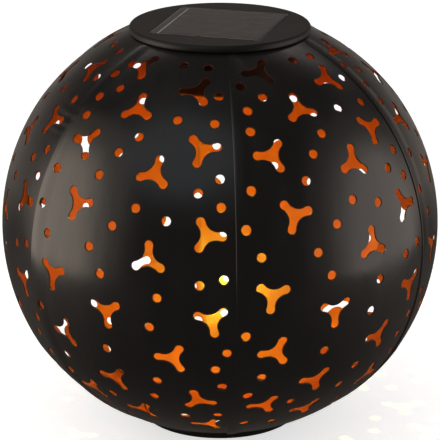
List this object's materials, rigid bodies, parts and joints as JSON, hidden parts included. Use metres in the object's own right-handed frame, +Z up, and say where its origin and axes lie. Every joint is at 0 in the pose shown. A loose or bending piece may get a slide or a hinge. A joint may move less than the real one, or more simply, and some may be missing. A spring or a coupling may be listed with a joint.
{
  "type": "garden globe light",
  "caption": "Perforated black sheet-metal garden globe with a solar head that lifts out of its neck and shines down inside.",
  "frame": {"origin": "centre of the base, on the surface the light stands on", "axes": "+Z up along the globe's axis, -Y towards the front of the picture, +X to its right"},
  "size_m": [0.2, 0.2006, 0.1868],
  "materials": {
    "black_steel": "satin black paint outside, satin orange lacquer inside, on formed steel sheet",
    "black_metal": "satin black paint on steel",
    "black_plastic": "satin black moulded plastic",
    "silicon": "dark brown silicon under resin",
    "clear_resin": "clear glossy casting resin",
    "panel_board": "black glass-fibre board",
    "rubber_seal": "soft black rubber",
    "screw_steel": "zinc-plated steel",
    "battery_sleeve": "plain green sleeve on a metal can",
    "contact_steel": "nickel-plated spring steel",
    "circuit_green": "green solder mask",
    "chip_black": "black moulded epoxy",
    "lamp_lens": "clear warm tinted epoxy",
    "switch_metal": "tinned steel",
    "lead_cover": "red flexible plastic"
  },
  "bodies": {
    "globe": {"gore_1": "black_steel", "gore_2": "black_steel", "gore_3": "black_steel", "gore_4": "black_steel", "gore_5": "black_steel", "gore_6": "black_steel", "collar_ring": "black_metal", "base_ring": "black_metal", "base_plate": "black_metal"},
    "solar_head": {"head_cover": "black_plastic", "cell_backing": "panel_board", "solar_cell": "silicon", "cell_resin": "clear_resin", "gasket": "rubber_seal", "head_housing": "black_plastic", "housing_screws": "screw_steel", "battery": "battery_sleeve", "contact_plus": "contact_steel", "contact_spring": "contact_steel", "circuit_board": "circuit_green", "board_screws": "screw_steel", "board_parts": "chip_black", "led": "lamp_lens", "switch_body": "switch_metal", "cell_leads": "lead_cover", "battery_leads": "lead_cover"},
    "door": {"battery_door": "black_plastic", "door_screws": "screw_steel"},
    "switch": {"switch_knob": "black_plastic"}
  },
  "joints": [
    {"name": "head_lift", "type": "slide", "parent": "globe", "child": "solar_head", "axis": [0, 0, 1], "range_m": [0, 0.08]},
    {"name": "door_off", "type": "slide", "parent": "solar_head", "child": "door", "axis": [0, 0, -1], "range_m": [0, 0.02]},
    {"name": "switch_slide", "type": "slide", "parent": "solar_head", "child": "switch", "axis": [-1, 0, 0], "range_m": [0, 0.002]}
  ]
}
